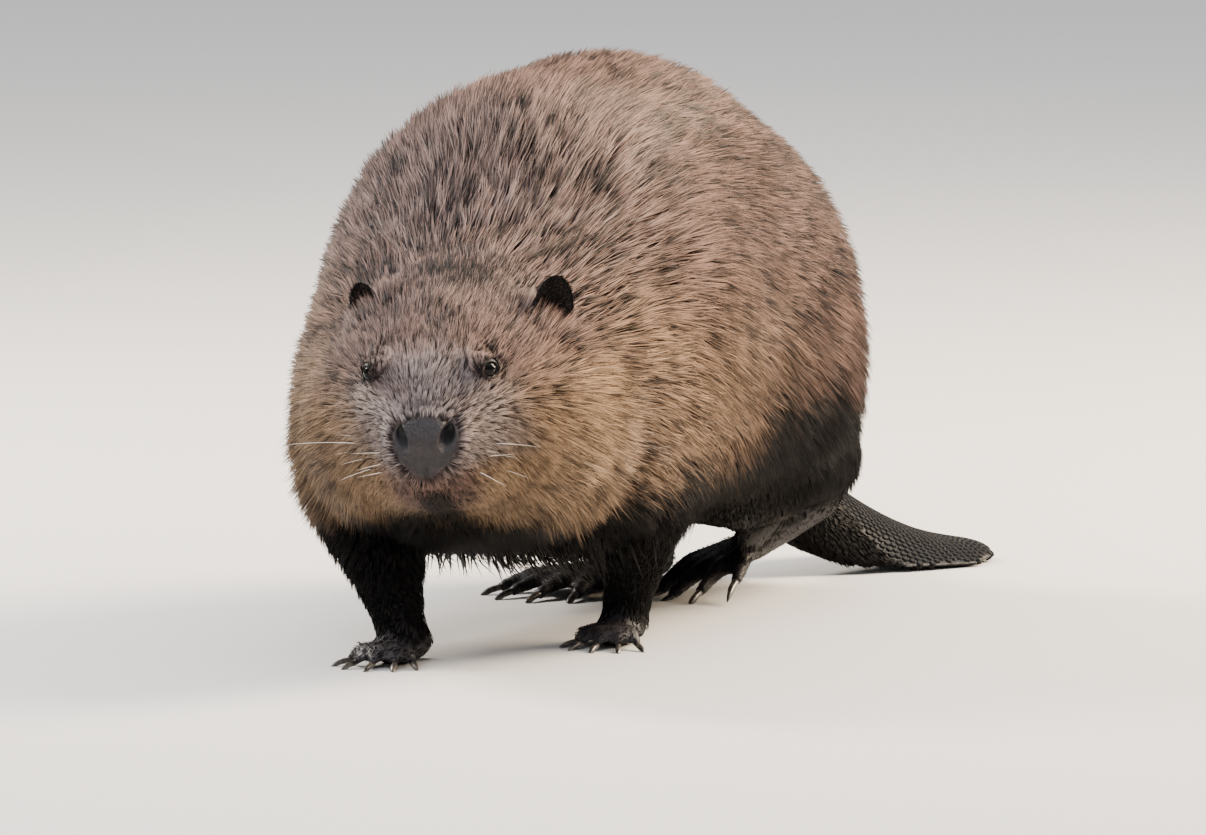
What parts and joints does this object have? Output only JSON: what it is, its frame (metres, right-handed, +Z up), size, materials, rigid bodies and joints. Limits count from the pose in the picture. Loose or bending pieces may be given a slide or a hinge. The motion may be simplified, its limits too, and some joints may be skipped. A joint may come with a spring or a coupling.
{
  "type": "life-size beaver model",
  "caption": "Still, life-size museum-type model of a walking beaver: humped furry body, low turned head, clawed forepaws, webbed hind feet and a flat scaly tail.",
  "frame": {"origin": "centre of the bounding box, at the floor that the soles rest on", "axes": "+Z up, nose towards -Y, tail towards +Y, the animal's left towards +X"},
  "size_m": [0.2686, 0.754, 0.3457],
  "materials": {
    "body_fur": "long warm grey-brown guard hair over dense underfur",
    "dark_fur": "short blackish-brown hair",
    "foot_skin": "bare dark grey, finely wrinkled",
    "tail_scales": "black scaly skin with a dull sheen",
    "nose_skin": "bare dark grey, damp",
    "claw": "dark horn with a pale glint",
    "eye": "near-black, wet"
  },
  "bodies": {
    "root": {"claw_fore_left_1": "claw", "claw_fore_left_2": "claw", "claw_fore_left_3": "claw", "claw_fore_left_4": "claw", "claw_fore_left_5": "claw", "claw_fore_right_1": "claw", "claw_fore_right_2": "claw", "claw_fore_right_3": "claw", "claw_fore_right_4": "claw", "claw_fore_right_5": "claw", "claw_hind_left_1": "claw", "claw_hind_left_2": "claw", "claw_hind_left_3": "claw", "claw_hind_left_4": "claw", "claw_hind_left_5": "claw", "claw_hind_right_1": "claw", "claw_hind_right_2": "claw", "claw_hind_right_3": "claw", "claw_hind_right_4": "claw", "claw_hind_right_5": "claw", "ear_left": "dark_fur", "ear_right": "dark_fur", "eye_left": "eye", "eye_right": "eye", "foot_fore_left": "foot_skin", "foot_fore_right": "foot_skin", "foot_hind_left": "foot_skin", "foot_hind_right": "foot_skin", "head": "body_fur", "leg_fore_left": "dark_fur", "leg_fore_right": "dark_fur", "leg_hind_left": "dark_fur", "leg_hind_right": "dark_fur", "neck": "body_fur", "nose": "nose_skin", "rump": "body_fur", "tail": "tail_scales", "trunk": "body_fur"}
  },
  "joints": []
}
